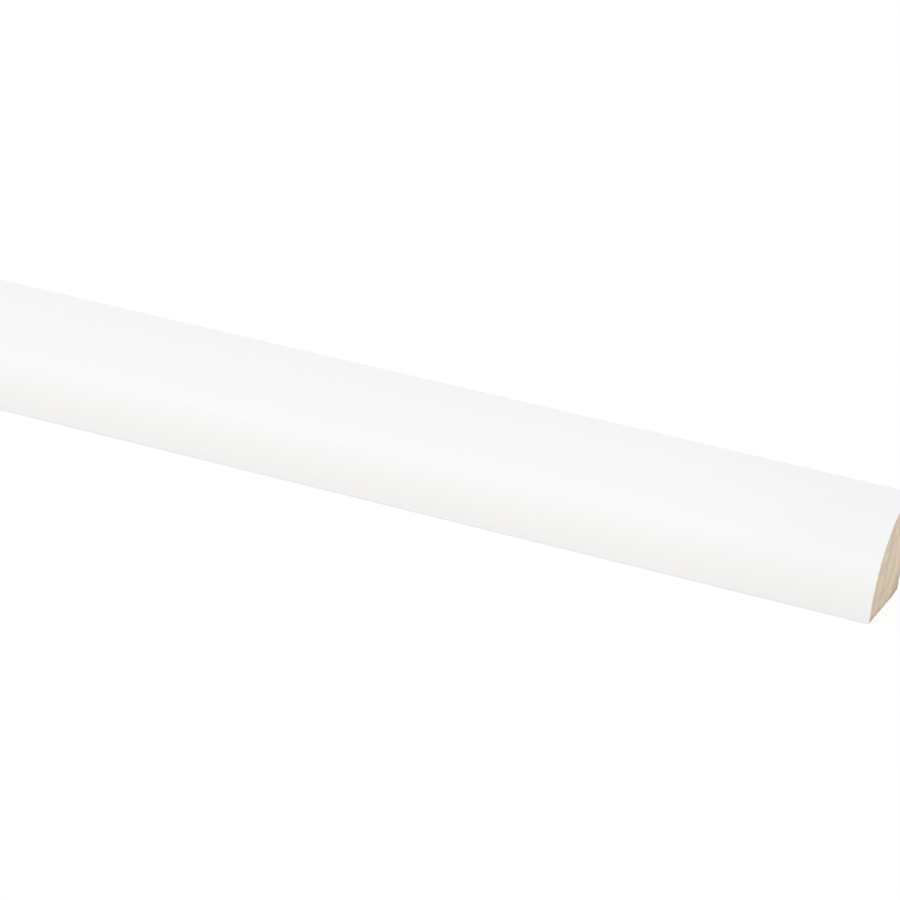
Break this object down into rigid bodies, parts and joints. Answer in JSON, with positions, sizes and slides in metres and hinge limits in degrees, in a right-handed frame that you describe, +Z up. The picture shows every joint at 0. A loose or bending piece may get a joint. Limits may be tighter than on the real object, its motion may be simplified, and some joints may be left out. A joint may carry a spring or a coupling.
{
  "type": "quarter round moulding",
  "caption": "Straight stick of white-painted wooden trim with a quarter-circle section: two flat faces meet at a right angle and a rounded face spans them; bare sawn wood shows on the ends.",
  "frame": {"origin": "the middle of the sole, the flat face that the stick lies on, at half its length", "axes": "+X along the length, +Y from the rounded face to the flat back, +Z up from the sole"},
  "size_m": [0.9144, 0.019, 0.0191],
  "materials": {
    "white_painted_pine": "satin"
  },
  "bodies": {
    "root": {"quarter_round": "white_painted_pine"}
  },
  "joints": []
}
